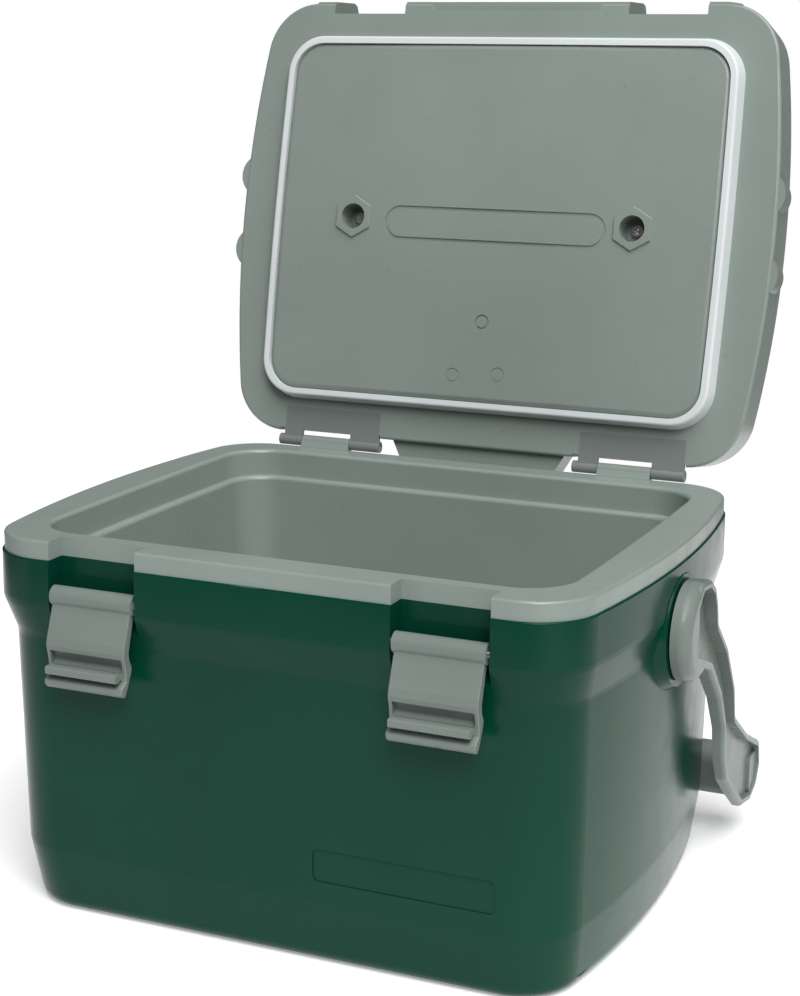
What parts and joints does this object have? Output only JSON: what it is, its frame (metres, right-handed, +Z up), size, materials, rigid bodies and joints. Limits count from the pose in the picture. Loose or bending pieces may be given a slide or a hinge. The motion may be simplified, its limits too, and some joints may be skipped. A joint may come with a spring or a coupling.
{
  "type": "cooler chest",
  "caption": "Small hard-sided insulated chest with a hinged foam-filled lid, hanging front latches and a swinging carry handle",
  "frame": {"origin": "Middle of the flat underside of the body, on the surface the chest stands on.", "axes": "+Z up, +X to the viewer's right when facing the latches, -Y towards the front with the latches, +Y towards the hinges."},
  "size_m": [0.336, 0.3505, 0.4353],
  "materials": {
    "green_shell": "semi-gloss",
    "grey_moulding": "satin",
    "foam": "matte",
    "gasket_rubber": "matte",
    "hinge_plastic": "satin",
    "pivot_plastic": "satin",
    "steel_pin": "brushed"
  },
  "bodies": {
    "body": {"outer_shell": "green_shell", "inner_liner": "grey_moulding", "body_foam": "foam", "body_fill_plug": "green_shell", "latch_pin_left": "steel_pin", "latch_pin_right": "steel_pin", "handle_pivot_left": "pivot_plastic", "handle_pivot_right": "pivot_plastic", "handle_washer_left": "pivot_plastic", "handle_washer_right": "pivot_plastic"},
    "lid": {"lid_shell": "grey_moulding", "lid_foam": "foam", "lid_gasket": "gasket_rubber", "lid_screws": "steel_pin", "hinge_leaf_left": "hinge_plastic", "hinge_leaf_right": "hinge_plastic", "hinge_pin_left": "steel_pin", "hinge_pin_right": "steel_pin"},
    "latch_l": {"latch_left": "grey_moulding"},
    "latch_r": {"latch_right": "grey_moulding"},
    "carry_handle": {"handle": "grey_moulding"}
  },
  "joints": [
    {"name": "lid_hinge", "type": "hinge", "parent": "body", "child": "lid", "pos_m": [0, 0.1282, 0.1908], "axis": [1, 0, 0], "range_deg": [0, 102]},
    {"name": "latch_left_pivot", "type": "hinge", "parent": "body", "child": "latch_l", "pos_m": [-0.087, -0.124, 0.1623], "axis": [-1, 0, 0], "range_deg": [0, 175]},
    {"name": "latch_right_pivot", "type": "hinge", "parent": "body", "child": "latch_r", "pos_m": [0.087, -0.124, 0.1623], "axis": [-1, 0, 0], "range_deg": [0, 175]},
    {"name": "handle_pivot", "type": "hinge", "parent": "body", "child": "carry_handle", "pos_m": [0, 0, 0.146], "axis": [1, 0, 0], "range_deg": [0, 45]}
  ]
}
